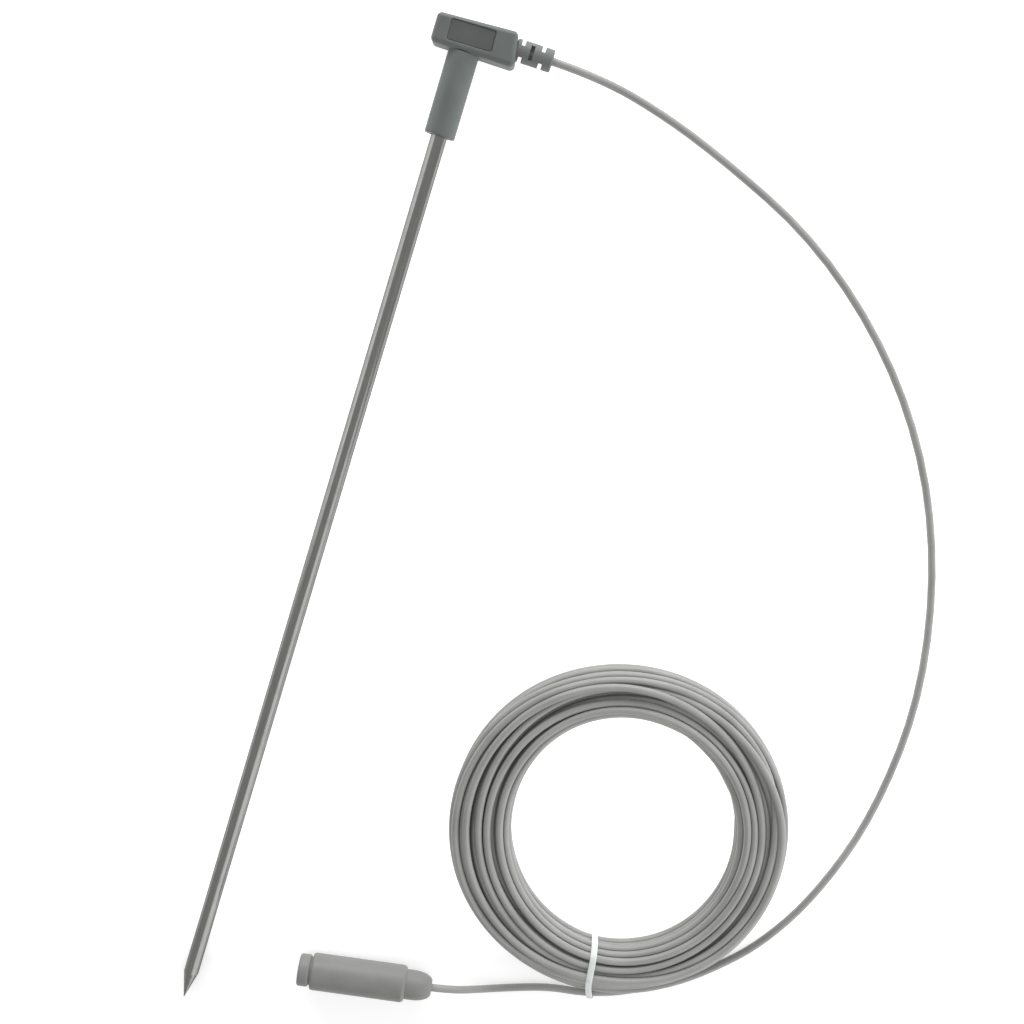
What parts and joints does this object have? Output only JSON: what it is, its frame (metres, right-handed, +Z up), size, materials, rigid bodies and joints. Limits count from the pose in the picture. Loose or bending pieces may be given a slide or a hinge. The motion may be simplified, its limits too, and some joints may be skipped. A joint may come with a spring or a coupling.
{
  "type": "soil moisture sensor",
  "caption": "Pointed stainless soil probe with a T-shaped handle, a long thin lead wound into a tied coil, and an in-line socket on the lead's end.",
  "frame": {"origin": "middle of the footprint of the probe and its handle, on the surface they lie on", "axes": "+Y from the probe's point to its handle, +X to the side the lead leaves, +Z up"},
  "size_m": [0.2171, 0.3373, 0.0124],
  "materials": {
    "steel": "polished stainless tube with fine lengthwise draw lines",
    "head_plastic": "grey-green moulded plastic, fine matt texture",
    "label_plastic": "smooth darker inlay, blank",
    "grip_plastic": "flexible grey moulding",
    "cord_jacket": "grey PVC jacket, satin",
    "socket_plastic": "warm grey moulded rubbery plastic, fine grain",
    "tie_plastic": "whitish nylon strap",
    "seal_rubber": "black rubber",
    "brass": "bare brass",
    "contact_metal": "nickel-plated contact",
    "copper": "tinned copper conductor",
    "wire_insulation": "thin wire insulation",
    "board": "green circuit board",
    "component": "black component bodies",
    "solder": "solder",
    "resin": "potting resin",
    "insulator": "natural nylon insulator"
  },
  "bodies": {
    "root": {"probe_tube": "steel", "probe_tip": "steel", "sensing_element": "component", "element_potting": "resin", "lead_wires": "wire_insulation", "rod_sleeve": "head_plastic", "sleeve_seal": "seal_rubber", "tube_ferrule": "brass", "head_front_shell": "head_plastic", "head_back_cover": "head_plastic", "cover_gasket": "seal_rubber", "label_plate": "label_plastic", "circuit_board": "board", "board_components": "component", "wire_joints": "solder", "strain_relief": "grip_plastic", "cord_inlet": "cord_jacket", "cord_clamp": "brass", "inlet_conductors": "copper", "cord_lead": "cord_jacket", "cord_coil": "cord_jacket", "cord_tail": "cord_jacket", "tie_strap": "tie_plastic", "tie_head": "tie_plastic", "socket_barrel": "socket_plastic", "socket_nose": "socket_plastic", "socket_boot": "socket_plastic", "socket_insulator": "insulator", "sleeve_contact": "contact_metal", "contact_spacer": "insulator", "tip_contact": "contact_metal", "socket_wires": "copper", "cord_outlet": "cord_jacket", "outlet_crimp": "brass"}
  },
  "joints": []
}
